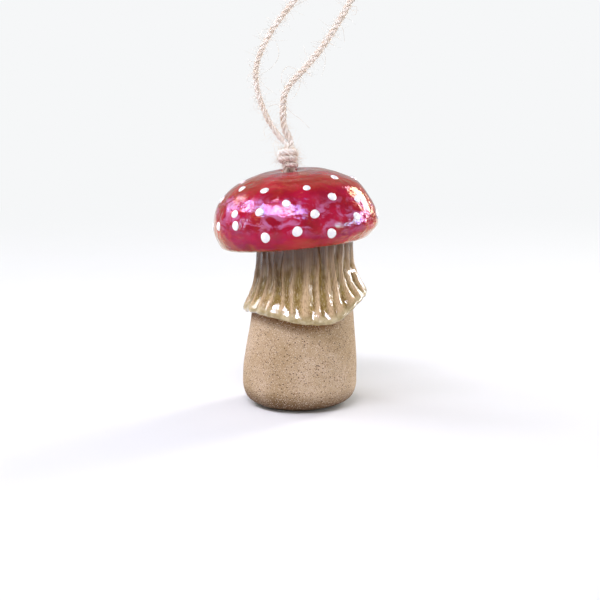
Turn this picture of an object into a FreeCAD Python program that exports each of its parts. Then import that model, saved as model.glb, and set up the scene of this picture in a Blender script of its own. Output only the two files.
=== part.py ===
import FreeCAD, Part
import math
import os

# A handmade stoneware toadstool on a loop of jute twine, in millimetres.
# +Z is up and the viewer stands at -Y. The origin lies on the surface that the foot rests on,
# under the middle of the cap's width.

# Cap: a hollow bowl, thrown upside down, with a low left rear rim
cap_width = 54.2
cap_height = 24.5
rim_height = 54.0
cap_wall = 4.3
rim_lip = 1.2
rim_lean_left = 5.6
rim_lean_back = 4.8
crown_shift = 2.2
hole_width = 4.8
hole_mouth = 0.8
crown_lean_left = 5.0
crown_lean_back = 1.0

# Stem: an open tube with a wide foot, which narrows into a neck that is luted into the cap
foot_width = 25.2
belly_width = 38.0
belly_height = 9.5
waist_width = 33.4
waist_height = 33.5
shoulder_rise = 5.0
neck_width = 26.4
neck_rise = 11.5
stem_wall = 3.7
neck_wall = 3.2
foot_opening = 19.6
foot_shift = 0.4
waist_shift = 2.3
neck_shift = 3.0

# Skirt: a fluted collar of thin clay round the neck, with a thick drooping hem
skirt_width = 32.0
skirt_length = 25.4
skirt_tuck = 5.6
skirt_wall = 2.3
hem_width = 41.3
hem_lip = 1.4
hem_lean_left = 5.6
hem_droop = 3.2
flute_depth = 1.25
flute_width = 2.0
hem_lobe = 0.2
luting_depth = 0.1

# Spots: raised dots of white slip, sunk a little in the red glaze
spot_width = 3.2
spot_rise = 0.55
spot_sunk = 0.35

# Twine, its knots and the play that they leave it in the crown hole
twine_width = 1.9
knot_width = 6.8
knot_height = 7.7
inner_knot_width = 7.6
inner_knot_height = 6.4
twine_gap = 0.3
lift = 3.5
tail_length = 11.0
tail_splay = 9.0

# One overrun serves all cuts
over = 2.0

# Flat facets round the cap and the stem, each spot, each knot and the twine
round_sides = 60
spot_sides = 10
knot_sides = 24
twine_sides = 10

# Section tables. Each row is a ring: shares of the height, the radius, the two leans and the shift
cap_ring_shares = [
    (1.000, 0.055, 0.90, 0.20, 1.00),
    (0.998, 0.170, 0.90, 0.20, 0.82),
    (0.978, 0.370, 0.90, 0.25, 0.55),
    (0.945, 0.480, 0.80, 0.30, 0.43),
    (0.905, 0.580, 0.70, 0.30, 0.32),
    (0.800, 0.762, 0.55, 0.30, 0.14),
    (0.600, 0.915, 0.16, 0.30, 0.05),
    (0.412, 0.990, 0.11, 0.40, 0.00),
    (0.220, 1.000, 0.55, 0.60, 0.00),
    (0.073, 0.930, 1.00, 0.85, 0.00),
    (0.018, 0.875, 1.00, 0.95, 0.00),
    (0.000, 0.815, 0.97, 1.00, 0.00),
]
hollow_rings = 9

# Spots in the photograph's places over the front, and in the same rhythm over the back:
# azimuth in degrees, share of the way down the dome, share of the spot's width
spot_shares = [
    (177, 0.39, 0.80), (-152, 0.43, 0.84), (-120, 0.43, 0.92), (-78, 0.42, 0.84), (-32, 0.36, 0.88),
    (13, 0.44, 0.86), (-174, 0.53, 0.88), (-139, 0.59, 0.92), (-117, 0.56, 0.94), (-97, 0.51, 0.90),
    (-76, 0.57, 0.98), (-58, 0.49, 0.96), (-33, 0.52, 0.88), (180, 0.70, 0.90), (-158, 0.68, 0.92),
    (-136, 0.66, 0.98), (-111, 0.72, 1.06), (-89, 0.68, 1.06), (-65, 0.71, 1.04), (-42, 0.61, 0.92),
    (-7, 0.64, 0.98), (16, 0.68, 1.02), (40, 0.71, 0.98), (64, 0.67, 1.04), (88, 0.72, 1.02),
    (112, 0.68, 0.98), (136, 0.71, 1.04), (158, 0.66, 0.94), (26, 0.54, 0.94), (50, 0.57, 0.90),
    (76, 0.52, 0.96), (100, 0.56, 0.92), (126, 0.53, 0.94), (150, 0.57, 0.90), (46, 0.38, 0.86),
    (82, 0.42, 0.88), (116, 0.38, 0.84), (146, 0.44, 0.88),
]

# A knot's outline: share of its height and of its half width
knot_shares = [
    (0.00, 0.62), (0.05, 0.84), (0.12, 0.95), (0.20, 1.00), (0.29, 1.00), (0.38, 0.97), (0.47, 0.98),
    (0.56, 1.00), (0.65, 1.00), (0.74, 0.97), (0.83, 0.90), (0.91, 0.78), (0.97, 0.60), (1.00, 0.42),
]

# Flutes: each groove's azimuth in degrees and its share of the full depth
groove_shares = [
    (-173, 0.7), (-160, 0.9), (-145, 1.0), (-133, 0.6), (-122, 1.0), (-109, 0.7), (-97.5, 0.8),
    (-81, 0.8), (-70.5, 1.2), (-59, 0.7), (-47, 1.0), (-34, 0.8), (-18, 1.0), (-4, 0.7),
    (9, 1.0), (22, 0.8), (34, 0.9), (48, 1.1), (61, 0.7), (73, 1.0), (87, 0.8),
    (100, 1.0), (112, 0.7), (126, 1.1), (139, 0.9), (151, 0.7), (164, 1.0), (176, 0.8),
]

# A flute's stations: shares of the way from one groove to the next
flute_station_shares = [0.0, 0.24, 0.5, 0.76]

# The hem's height at every 30 degrees from the right side, as shares of the droop
hem_shares = [0.55, 0.30, 0.00, -0.35, -0.15, 0.15, 0.10, 0.45, 0.10, -0.70, -1.00, 0.20]

# The skirt's profile from the top of the collar down the outside, round the hem and up the inside:
# share of the way from the hem to the top, share of the way from the collar to the hem's width,
# how much of the flutes shows there and how much of the hem's droop
skirt_outer_shares = [
    (0.985, -0.10, 0.20, 0.00), (0.900, 0.00, 0.55, 0.00), (0.700, 0.02, 0.70, 0.05),
    (0.520, 0.09, 0.85, 0.20), (0.370, 0.23, 1.00, 0.45), (0.240, 0.43, 1.00, 0.70),
    (0.140, 0.66, 0.85, 0.88), (0.060, 0.88, 0.50, 0.97), (0.000, 1.00, 0.15, 1.00),
]

# The loop's route: up the left strand, round the bight and down the right strand
loop_route = [
    (-3.7, 0.0, 87.7), (-7.1, 0.1, 91.4), (-10.6, 1.0, 98.0), (-13.3, 1.5, 106.8), (-13.0, 1.6, 114.0),
    (-8.4, 1.4, 123.6), (-2.4, 0.9, 131.6), (4.4, 0.3, 139.0), (9.3, -0.1, 146.0), (14.6, -0.4, 151.4),
    (21.2, -0.6, 152.6), (25.2, -0.8, 147.6), (23.4, -1.0, 141.4), (18.6, -1.1, 135.4),
    (13.6, -1.2, 126.6), (8.3, -1.3, 118.3), (1.6, -1.4, 110.6), (-3.9, -1.2, 105.0), (-4.3, -0.6, 97.2),
    (-3.9, 0.1, 91.7), (-1.4, 0.0, 87.7),
]

V = FreeCAD.Vector
UP = V(0, 0, 1)


def smooth_at(shares, share):
    """A value at a share of the way along a list, on a smooth curve through its entries."""
    place = share * (len(shares) - 1)
    i = min(int(place), len(shares) - 2)
    t = place - i
    before = shares[max(i - 1, 0)]
    start, end = shares[i], shares[i + 1]
    after = shares[min(i + 2, len(shares) - 1)]
    slope_in, slope_out = (end - before) / 2, (after - start) / 2
    cubic = 2 * start + slope_in - 2 * end + slope_out
    square = -3 * start - 2 * slope_in + 3 * end - slope_out
    return start + slope_in * t + square * t**2 + cubic * t**3


def periodic_at(shares, degrees):
    """A value at an azimuth, on a smooth closed curve through entries at even steps."""
    place = (degrees % 360) / 360 * len(shares)
    i = int(place)
    t = place - i
    before, start, end, after = (shares[(i + k) % len(shares)] for k in (-1, 0, 1, 2))
    slope_in, slope_out = (end - before) / 2, (after - start) / 2
    cubic = 2 * start + slope_in - 2 * end + slope_out
    square = -3 * start - 2 * slope_in + 3 * end - slope_out
    return start + slope_in * t + square * t**2 + cubic * t**3


def ring(radius, centre, lean_left=0, lean_back=0, sides=round_sides):
    """The points of a round section, which leans to the left and to the back."""
    points = []
    for side in range(sides):
        angle = 2 * math.pi * side / sides
        x, y = radius * math.cos(angle), radius * math.sin(angle)
        rise = x * math.tan(math.radians(lean_left)) - y * math.tan(math.radians(lean_back))
        points.append(centre + V(x, y, rise))
    return points


def facet(*corners):
    return Part.Face(Part.makePolygon(list(corners) + [corners[0]]))


def skin(rings, ends=True):
    """A solid of flat facets over rings of points, with flat ends, or closed on itself without."""
    faces = []
    pairs = list(zip(rings, rings[1:]))
    if ends:
        faces += [facet(*rings[0]), facet(*rings[-1])]
    else:
        pairs.append((rings[-1], rings[0]))
    for upper, lower in pairs:
        for i in range(len(upper)):
            k = (i + 1) % len(upper)
            faces.append(facet(upper[i], upper[k], lower[k]))
            faces.append(facet(upper[i], lower[k], lower[i]))
    shell = Part.Shell(faces)
    solid = Part.Solid(shell)
    if solid.Volume < 0:
        solid.reverse()
    return solid


def leaning_axis(lean_left, lean_back):
    axis = V(-math.tan(math.radians(lean_left)), math.tan(math.radians(lean_back)), 1)
    return axis.normalize()


def along(start, axis, length):
    return start + axis * length


# The crown hole's place and direction serve the cap, the twine and both knots
hole_axis = leaning_axis(crown_lean_left, crown_lean_back)
crown = V(-crown_shift, 0, rim_height + cap_height)


def cap_row(row):
    """Height, radius, leans and shift of one ring of the cap, in real sizes."""
    height, radius, left, back, shift = row
    return (
        rim_height + cap_height * height,
        cap_width / 2 * radius,
        rim_lean_left * left,
        rim_lean_back * back,
        -crown_shift * shift,
    )


def cap_at(azimuth, share):
    """The point of the cap's outside at an azimuth and a share of the way down its dome."""
    columns = list(zip(*[cap_row(row) for row in cap_ring_shares]))
    height, radius, left, back, shift = (smooth_at(column, share) for column in columns)
    x = radius * math.cos(math.radians(azimuth))
    y = radius * math.sin(math.radians(azimuth))
    rise = x * math.tan(math.radians(left)) - y * math.tan(math.radians(back))
    return V(shift + x, y, height + rise)


def make_cap_outside():
    rings = []
    for row in cap_ring_shares:
        height, radius, left, back, shift = cap_row(row)
        rings.append(ring(radius, V(shift, 0, height), left, back))
    return skin(rings)


def make_cap_hollow():
    """The bowl's inside: the outer rings moved in by the wall, and a mouth inside the rim's lip."""
    rows = [cap_row(row) for row in cap_ring_shares]
    rings = []
    for i in range(1, hollow_rings):
        (z0, r0), (z1, r1) = rows[i - 1][:2], rows[i + 1][:2]
        height, radius, left, back, shift = rows[i]
        run = math.hypot(z1 - z0, r1 - r0)
        inward, down = (z0 - z1) / run, (r1 - r0) / run
        centre = V(shift, 0, height - cap_wall * down)
        rings.append(ring(radius - cap_wall * inward, centre, left, back))
    height, radius, left, back, shift = rows[-1]
    for depth in (0, over):
        rings.append(ring(radius - rim_lip, V(shift, 0, height - depth), left, back))
    return skin(rings)


def make_cap():
    outside = make_cap_outside()
    shell = outside.cut(make_cap_hollow())
    hole = Part.makeCylinder(hole_width / 2, 2 * cap_wall + over, along(crown, hole_axis, -2 * cap_wall), hole_axis)
    mouth_depth = hole_mouth + over
    mouth = Part.makeCone(
        hole_width / 2, hole_width / 2 + mouth_depth, mouth_depth, along(crown, hole_axis, -hole_mouth), hole_axis
    )
    return shell.cut(hole).cut(mouth)


def spot_rings(place, normal, width):
    """The sunk foot and two courses of one low dome."""
    turn = FreeCAD.Rotation(UP, normal)
    courses = [(-spot_sunk, 1.0), (0.55 * spot_rise, 0.82), (spot_rise, 0.38)]
    rings = []
    for rise, share in courses:
        flat = ring(width / 2 * share, UP * rise, sides=spot_sides)
        rings.append([place + turn.multVec(point) for point in flat])
    return rings


def make_spots():
    spots = []
    step = 1.0
    for azimuth, share, width_share in spot_shares:
        place = cap_at(azimuth, share)
        across = cap_at(azimuth + step, share) - cap_at(azimuth - step, share)
        down = cap_at(azimuth, share + 0.01) - cap_at(azimuth, share - 0.01)
        normal = down.cross(across).normalize()
        spots.append(skin(spot_rings(place, normal, spot_width * width_share)))
    return Part.makeCompound(spots)


def stack(rows):
    """A solid of straight-sided courses through level rings: (height, radius, shift)."""
    return skin([ring(radius, V(shift, 0, height)) for height, radius, shift in rows])


def make_stem():
    """An open tube of clay whose neck ends on the cap's ceiling all round."""
    belly, waist, neck = belly_width / 2, waist_width / 2, neck_width / 2
    foot = foot_width / 2
    spread = belly - foot
    outer_rows = [
        (0, foot, foot_shift),
        (0.09 * belly_height, foot + 0.36 * spread, foot_shift + 0.18 * waist_shift),
        (0.28 * belly_height, foot + 0.78 * spread, foot_shift + 0.30 * waist_shift),
        (0.62 * belly_height, foot + 0.98 * spread, foot_shift + 0.36 * waist_shift),
        (belly_height, belly, foot_shift + 0.38 * waist_shift),
        (1.45 * belly_height, belly - 0.02 * spread, foot_shift + 0.44 * waist_shift),
        (0.62 * waist_height, waist + 0.62 * (belly - waist), foot_shift + 0.60 * waist_shift),
        (0.80 * waist_height, waist + 0.30 * (belly - waist), foot_shift + 0.74 * waist_shift),
        (waist_height, waist, waist_shift),
        (waist_height + shoulder_rise, neck + 0.72 * (waist - neck), waist_shift),
        (waist_height + 0.55 * neck_rise + 0.45 * shoulder_rise, neck + 0.28 * (waist - neck), neck_shift),
        (waist_height + neck_rise, neck, neck_shift),
    ]
    inner_rows = [
        (-over, foot_opening / 2, foot_shift),
        (0.12 * belly_height, foot_opening / 2, foot_shift),
        (0.34 * belly_height, foot_opening / 2 + 0.6 * (belly - stem_wall - foot_opening / 2), foot_shift),
        (0.75 * belly_height, belly - stem_wall, foot_shift + 0.36 * waist_shift),
        (1.45 * belly_height, belly - stem_wall, foot_shift + 0.44 * waist_shift),
        (0.80 * waist_height, waist + 0.30 * (belly - waist) - stem_wall, foot_shift + 0.74 * waist_shift),
        (waist_height, waist - stem_wall, waist_shift),
        (waist_height + neck_rise, neck - neck_wall, neck_shift),
    ]
    neck_top = rim_height + cap_height
    outer_rows.append((neck_top, neck, neck_shift))
    inner_rows.append((neck_top + over, neck - neck_wall, neck_shift))
    ceiling_base = V(0, 0, rim_height + 0.3 * cap_height)
    ceiling = Part.makeCylinder(cap_width, cap_height, ceiling_base).cut(make_cap_hollow())
    return stack(outer_rows).cut(stack(inner_rows)).cut(ceiling)


def groove_at(azimuth):
    """How deep the flutes are at an azimuth, as a share of their full depth."""
    spread = math.degrees(flute_width / skirt_width)
    depth = 0
    for place, share in groove_shares:
        off = (azimuth - place + 180) % 360 - 180
        depth = max(depth, share * math.exp(-((off / spread) ** 2)))
    return depth


def skirt_rows():
    """The skirt's profile as rings: height, radius, share of the flutes, share of the droop."""
    collar, hem = skirt_width / 2, hem_width / 2
    top = rim_height + skirt_tuck
    tall = skirt_length
    low = top - tall
    rows = []
    for height, radius, flutes, droop in skirt_outer_shares:
        rows.append((low + tall * height, collar + (hem - collar) * radius, flutes, droop))
    seat = neck_width / 2 - luting_depth
    rows += [
        (low - 0.75 * hem_lip, hem - 0.35 * hem_lip, 0.10, 1.0),
        (low - hem_lip, hem - 1.1 * hem_lip, 0.05, 1.0),
        (low - 0.55 * hem_lip, hem - 1.9 * hem_lip, 0.0, 1.0),
        (low + 0.13 * tall, hem - skirt_wall - 0.5 * hem_lip, 0.0, 0.9),
        (low + 0.28 * tall, collar + 0.36 * (hem - collar) - skirt_wall, 0.0, 0.6),
        (low + 0.40 * tall, seat + 0.30 * skirt_wall, 0.0, 0.4),
        (low + 0.48 * tall, seat, 0.0, 0.25),
        (top, seat, 0.0, 0.0),
    ]
    return rows


def skirt_at(row, azimuth):
    height, radius, flutes, droop = row
    angle = math.radians(azimuth)
    groove = groove_at(azimuth)
    lobe = hem_lobe * (0.4 - groove) * max(0, droop - 0.8) / 0.2
    radius += lobe - flute_depth * flutes * groove
    hang = hem_droop * periodic_at(hem_shares, azimuth)
    hang += math.cos(angle) * hem_width / 2 * math.tan(math.radians(hem_lean_left)) - lobe
    return V(neck_shift + radius * math.cos(angle), radius * math.sin(angle), height + hang * droop)


def make_skirt():
    """A closed skin over the fluted profile, with a groove, two flanks and a ridge to each flute."""
    grooves = [azimuth for azimuth, depth in groove_shares]
    azimuths = []
    for start, end in zip(grooves, grooves[1:] + [grooves[0] + 360]):
        azimuths += [start + (end - start) * share for share in flute_station_shares]
    return skin([[skirt_at(row, azimuth) for azimuth in azimuths] for row in skirt_rows()], ends=False)


def make_knot(centre, axis, width, height, turns):
    """A drawn-up knot: a barrel of twine whose turns cross each other."""
    placement = FreeCAD.Placement(centre, FreeCAD.Rotation(UP, axis))
    rings = []
    for share, girth in knot_shares:
        points = []
        for side in range(knot_sides):
            angle = 2 * math.pi * side / knot_sides
            climb = turns * math.pi * share
            groove = min(abs(math.sin(climb + angle)), abs(math.sin(climb - angle + 1)))
            radius = width / 2 * girth - 0.3 * twine_width * (1 - groove) * min(1, 3 * (1 - abs(2 * share - 1)))
            flat = V(radius * math.cos(angle), radius * math.sin(angle), height * (share - 0.5))
            points.append(placement.multVec(flat))
        rings.append(points)
    return skin(rings)


def route_path(points):
    """Straight runs joined by tangent arcs, each as large as its two runs allow."""
    points = [V(*point) for point in points]
    edges = []
    radii = []
    start = points[0]
    for before, corner, after in zip(points, points[1:], points[2:]):
        run_in, run_out = corner - before, after - corner
        shorter = min(run_in.Length, run_out.Length)
        half = run_in.getAngle(run_out) / 2
        reach = 0.45 * shorter
        radius = reach / math.tan(half)
        way_in, way_out = run_in.normalize(), run_out.normalize()
        arc_start, arc_end = corner - way_in * reach, corner + way_out * reach
        bisector = (way_out - way_in).normalize()
        middle = corner + bisector * (radius / math.cos(half) - radius)
        edges.append(Part.LineSegment(start, arc_start).toShape())
        edges.append(Part.Arc(arc_start, middle, arc_end).toShape())
        radii.append(radius)
        start = arc_end
    edges.append(Part.LineSegment(start, points[-1]).toShape())
    return Part.Wire(edges), radii


def twine_ring(start, direction):
    """The twine's section: an even polygon with the area of its circle."""
    turn = FreeCAD.Rotation(UP, direction)
    corner = math.sqrt(2 * math.pi / (twine_sides * math.sin(2 * math.pi / twine_sides)))
    return [start + turn.multVec(point) for point in ring(twine_width / 2 * corner, V(), sides=twine_sides)]


def make_tube(points, name):
    path, radii = route_path(points)
    section = twine_ring(V(*points[0]), V(*points[1]) - V(*points[0]))
    tube = path.makePipeShell([Part.makePolygon(section + [section[0]])], True)
    expected = math.pi * twine_width**2 / 4 * path.Length
    print(
        f"{name}: length {path.Length:.1f}, radii {min(radii):.1f} to {max(radii):.1f}, "
        f"volume {tube.Volume:.1f} of {expected:.1f}"
    )
    return tube


def make_tails(centre):
    """The two cut ends of the twine, which hang from the inner knot."""
    tails = []
    for side in (-1, 1):
        root = centre + V(side * 0.3 * inner_knot_width, 0, -0.38 * inner_knot_height)
        lean = math.radians(side * tail_splay)
        way = V(math.sin(lean), 0.25 * side * math.sin(abs(lean)), -math.cos(lean)).normalize()
        tails.append(skin([twine_ring(root, way), twine_ring(along(root, way, tail_length), way)]))
    return tails


def make_through(bottom, top):
    """The two strands that pass side by side through the crown hole, from one knot to the other."""
    strands = []
    for side in (-1, 1):
        aside = V(side * (twine_width + twine_gap) / 2, 0, 0)
        ends = [along(crown, hole_axis, length) + aside for length in (bottom, top)]
        strands.append(skin([twine_ring(end, hole_axis) for end in ends]))
    return strands


def export(node, shape):
    shape.exportStep(f"parts/{node}.step")
    print(f"{node}: {len(shape.Solids)} solid(s), {shape.Volume:.0f} mm3, valid {shape.isValid()}")


def main():
    os.makedirs("parts", exist_ok=True)
    cap = make_cap()
    export("cap", cap)
    export("cap_spots", make_spots())
    stem = make_stem()
    export("stem_body", stem)
    export("skirt", make_skirt().cut(stem))

    knot_centre = along(crown, hole_axis, twine_gap + knot_height / 2)
    export("crown_knot", make_knot(knot_centre, hole_axis, knot_width, knot_height, 2.5))
    inner_centre = along(crown, hole_axis, -cap_wall - lift - twine_gap - inner_knot_height / 2)
    inner_knot = make_knot(inner_centre, hole_axis, inner_knot_width, inner_knot_height, 2)
    export("retaining_knot", inner_knot)
    export("twine_tails", Part.makeCompound([tail.cut(inner_knot) for tail in make_tails(inner_centre)]))
    export("through_twine", Part.makeCompound(make_through(-cap_wall - lift, 0)))
    export("twine_loop", make_tube(loop_route, "twine_loop"))


main()
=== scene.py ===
import bmesh
import bpy
import math
import numpy as np
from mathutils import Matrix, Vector


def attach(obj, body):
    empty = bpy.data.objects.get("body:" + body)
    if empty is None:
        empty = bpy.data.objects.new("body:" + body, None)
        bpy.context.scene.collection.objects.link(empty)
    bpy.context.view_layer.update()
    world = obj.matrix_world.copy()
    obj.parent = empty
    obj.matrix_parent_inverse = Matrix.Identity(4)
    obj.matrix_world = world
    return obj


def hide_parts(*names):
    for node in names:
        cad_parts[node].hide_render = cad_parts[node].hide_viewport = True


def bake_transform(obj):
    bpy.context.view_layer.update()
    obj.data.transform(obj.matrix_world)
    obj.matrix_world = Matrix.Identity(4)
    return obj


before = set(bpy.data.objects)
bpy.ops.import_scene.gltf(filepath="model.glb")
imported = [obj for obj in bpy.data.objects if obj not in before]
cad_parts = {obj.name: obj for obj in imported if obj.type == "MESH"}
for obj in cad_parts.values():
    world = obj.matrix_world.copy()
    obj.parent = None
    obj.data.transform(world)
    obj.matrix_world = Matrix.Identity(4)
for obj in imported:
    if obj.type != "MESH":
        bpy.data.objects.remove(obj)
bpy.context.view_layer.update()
scene = bpy.context.scene
scene.view_settings.view_transform = "Standard"
MM = 0.001
TURN = 2 * math.pi
rng = np.random.default_rng(7)


# The camera stands 700 mm from the middle of the picture, 12 degrees above level

target = Vector((1.35, 0.0, 34.8)) * MM
camera_distance, camera_rise = 0.7, math.radians(12)
camera = bpy.data.objects.new("camera", bpy.data.cameras.new("camera"))
scene.collection.objects.link(camera)
camera.location = target + camera_distance * Vector((0, -math.cos(camera_rise), math.sin(camera_rise)))
camera.rotation_euler = (target - camera.location).to_track_quat("-Z", "Y").to_euler()
camera.data.lens = 126
camera.data.sensor_width = 36
camera.data.clip_start = 0.01
scene.camera = camera


# Mesh helpers

def link(name, mesh, material=None, body=None):
    """A piece of the scene from a mesh, on its body and with its slot."""
    piece = bpy.data.objects.new(name, mesh)
    scene.collection.objects.link(piece)
    if material:
        mesh.materials.append(material)
    if body:
        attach(piece, body)
    return piece


def grid_mesh(name, grids, closed_rows=False, caps=False, uv=False, values=None):
    """Grids of rings of points in millimetres, each ring closed, as one smooth mesh.

    Values are one number for each point, kept as the attribute "share".
    """
    points, faces, coords, shares = [], [], [], []
    for number, grid in enumerate(grids):
        rows, cols = grid.shape[:2]
        base = sum(len(p) for p in points)
        points.append(grid.reshape(-1, 3))
        index = np.arange(rows * cols).reshape(rows, cols) + base
        last = rows if closed_rows else rows - 1
        for r in range(last):
            upper, lower = index[r], index[(r + 1) % rows]
            for c in range(cols):
                k = (c + 1) % cols
                faces.append((upper[c], upper[k], lower[k], lower[c]))
                if uv:
                    coords.append(((c, r), (c + 1, r), (c + 1, r + 1), (c, r + 1)))
        if caps:
            faces.append(tuple(index[0][::-1]))
            faces.append(tuple(index[-1]))
            if uv:
                coords += [((0, 0),) * cols, ((0, rows),) * cols]
        if values is not None:
            shares.append(values[number].reshape(-1))
    mesh = bpy.data.meshes.new(name)
    corners = [tuple(int(i) for i in face) for face in faces]
    mesh.from_pydata((np.concatenate(points) * MM).tolist(), [], corners)
    mesh.polygons.foreach_set("use_smooth", [True] * len(mesh.polygons))
    if uv:
        layer = mesh.uv_layers.new(name="UVMap")
        cols = grids[0].shape[1]
        flat = [(u / cols, v) for face in coords for u, v in face]
        layer.data.foreach_set("uv", np.array(flat, np.float32).reshape(-1))
    if values is not None:
        attribute = mesh.attributes.new("share", "FLOAT", "POINT")
        attribute.data.foreach_set("value", np.concatenate(shares).astype(np.float32))
    mesh.validate()
    mesh.update()
    return mesh


def outward(mesh):
    """Turns the faces so that their normals point out of the closed form."""
    work = bmesh.new()
    work.from_mesh(mesh)
    bmesh.ops.recalc_face_normals(work, faces=work.faces)
    work.to_mesh(mesh)
    work.free()
    return mesh


def between(before, start, end, after, t):
    """The smooth curve through four even steps, at a share t of the way from start to end."""
    slope_in, slope_out = (end - before) / 2, (after - start) / 2
    cubic = 2 * start + slope_in - 2 * end + slope_out
    square = -3 * start - 2 * slope_in + 3 * end - slope_out
    return start + slope_in * t + square * t**2 + cubic * t**3


def smooth_rows(rows, shares):
    """Values at shares of the way along a table, on smooth curves through its rows."""
    table = np.array(rows, float)
    place = np.asarray(shares, float) * (len(table) - 1)
    i = np.clip(place.astype(int), 0, len(table) - 2)
    t = (place - i)[:, None]
    before, after = table[np.maximum(i - 1, 0)], table[np.minimum(i + 2, len(table) - 1)]
    return between(before, table[i], table[i + 1], after, t)


def unit(ways):
    """Directions at length 1: one, or a row of them."""
    return ways / np.linalg.norm(ways, axis=-1, keepdims=True)


def ring(height, radius, left=0, back=0, shift=0, count=180):
    """A circle at a height, leant to the left and the back by degrees and shifted in x."""
    angle = np.linspace(0, TURN, count, endpoint=False)
    x, y = radius * np.cos(angle), radius * np.sin(angle)
    lift = x * math.tan(math.radians(left)) - y * math.tan(math.radians(back))
    return np.stack([shift + x, y, height + lift], -1)


def waves(points, pitch, seed):
    """A soft unevenness from about -1 to 1, with a pitch in millimetres."""
    wave_count, widest_phase = 7, 6.28
    draws = np.random.default_rng(seed)
    total = np.zeros(points.shape[:-1])
    for _ in range(wave_count):
        way = draws.normal(size=3)
        way *= TURN / (pitch * np.linalg.norm(way) * draws.uniform(0.7, 1.5))
        total += np.sin(points @ way + draws.uniform(0, widest_phase))
    return total / 4


# Material helpers

class Shader:
    """A Principled surface with a few short ways to make its nodes."""

    def __init__(self, name, **inputs):
        self.material = bpy.data.materials.new(name)
        self.material.use_nodes = True
        self.tree = self.material.node_tree
        self.surface = self.tree.nodes["Principled BSDF"]
        for key, value in inputs.items():
            self.surface.inputs[key.replace("_", " ")].default_value = value
        place = self.node("ShaderNodeTexCoord").outputs["Object"]
        self.place = self.vector("SCALE", place, scale=1 / MM)

    def node(self, kind, **settings):
        made = self.tree.nodes.new(kind)
        for key, value in settings.items():
            setattr(made, key, value)
        return made

    def feed(self, socket, value):
        if isinstance(value, bpy.types.NodeSocket):
            self.tree.links.new(value, socket)
        elif value is not None:
            socket.default_value = value

    def vector(self, operation, first, second=None, scale=None):
        made = self.node("ShaderNodeVectorMath", operation=operation)
        self.feed(made.inputs[0], first)
        self.feed(made.inputs[1], second)
        if scale is not None:
            made.inputs["Scale"].default_value = scale
        return made.outputs["Vector"]

    def stretch(self, x, y, z):
        return self.vector("MULTIPLY", self.place, (x, y, z))

    def noise(self, scale, detail=2.0, rough=0.5, place=None, warp=0.0):
        made = self.node("ShaderNodeTexNoise")
        self.feed(made.inputs["Vector"], place or self.place)
        keys = ("Scale", "Detail", "Roughness", "Distortion")
        for key, value in zip(keys, (scale, detail, rough, warp)):
            made.inputs[key].default_value = value
        return made.outputs["Fac"]

    def cells(self, scale, place=None):
        """Distances from the middles of scattered cells."""
        made = self.node("ShaderNodeTexVoronoi")
        self.feed(made.inputs["Vector"], place or self.place)
        made.inputs["Scale"].default_value = scale
        return made.outputs["Distance"]

    def ramp(self, share, low, high, start=0.0, end=1.0):
        """A share between two values maps smoothly to start and end."""
        made = self.node("ShaderNodeMapRange", interpolation_type="SMOOTHSTEP")
        keys = ("Value", "From Min", "From Max", "To Min", "To Max")
        for key, value in zip(keys, (share, low, high, start, end)):
            self.feed(made.inputs[key], value)
        return made.outputs["Result"]

    def math(self, operation, first, second=None):
        made = self.node("ShaderNodeMath", operation=operation)
        self.feed(made.inputs[0], first)
        self.feed(made.inputs[1], second)
        return made.outputs[0]

    def plus(self, first, second):
        return self.math("ADD", first, second)

    def times(self, first, second):
        return self.math("MULTIPLY", first, second)

    def mix(self, share, first, second):
        """The first colour, and the second where the share is 1."""
        made = self.node("ShaderNodeMix", data_type="RGBA")
        self.feed(made.inputs["Factor"], share)
        self.feed(made.inputs[6], first)
        self.feed(made.inputs[7], second)
        return made.outputs[2]

    def bump(self, height, distance, normal=None):
        """Distance is the height's full swing, in millimetres."""
        made = self.node("ShaderNodeBump")
        made.inputs["Distance"].default_value = distance * MM
        self.feed(made.inputs["Height"], height)
        self.feed(made.inputs["Normal"], normal)
        return made.outputs["Normal"]

    def attribute(self, name):
        return self.node("ShaderNodeAttribute", attribute_name=name).outputs["Fac"]

    def axis(self, letter):
        """The place along one axis, in millimetres."""
        made = self.node("ShaderNodeSeparateXYZ")
        self.feed(made.inputs[0], self.place)
        return made.outputs[letter]

    def done(self, **sockets):
        for key, value in sockets.items():
            self.feed(self.surface.inputs[key.replace("_", " ")], value)
        return self.material


def rgb(*display):
    """A colour from its red, green and blue, 0 to 255 as a screen shows them."""
    linear = [((c / 255 + 0.055) / 1.055) ** 2.4 if c > 10 else c / 255 / 12.92 for c in display]
    return (*linear, 1.0)


# Materials. Places and heights are in millimetres, and noise scales are per millimetre

def make_jute(name, dark, light, worn):
    """Twisted jute: grain along the strands between two colours, with paler worn places."""
    jute = Shader(name, Roughness=0.92, Specular_IOR_Level=0.15)
    uv = jute.node("ShaderNodeTexCoord").outputs["UV"]
    grain = jute.noise(1.0, 3, 0.6, jute.vector("MULTIPLY", uv, (26.0, 0.22, 1.0)))
    patch = jute.noise(0.5, 2, 0.5)
    color = jute.mix(jute.ramp(grain, 0.3, 0.6), dark, light)
    color = jute.mix(jute.ramp(patch, 0.4, 0.65, 0, 0.6), color, worn)
    return jute.done(Base_Color=color, Normal=jute.bump(grain, 0.08))


def make_fibre(name):
    """Loose single fibres, which catch more light than the twine."""
    fibre = Shader(name, Roughness=0.8, Specular_IOR_Level=0.2)
    tint = fibre.ramp(fibre.noise(0.4, 1), 0.35, 0.65)
    return fibre.done(Base_Color=fibre.mix(tint, rgb(216, 194, 168), rgb(246, 235, 220)))


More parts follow.
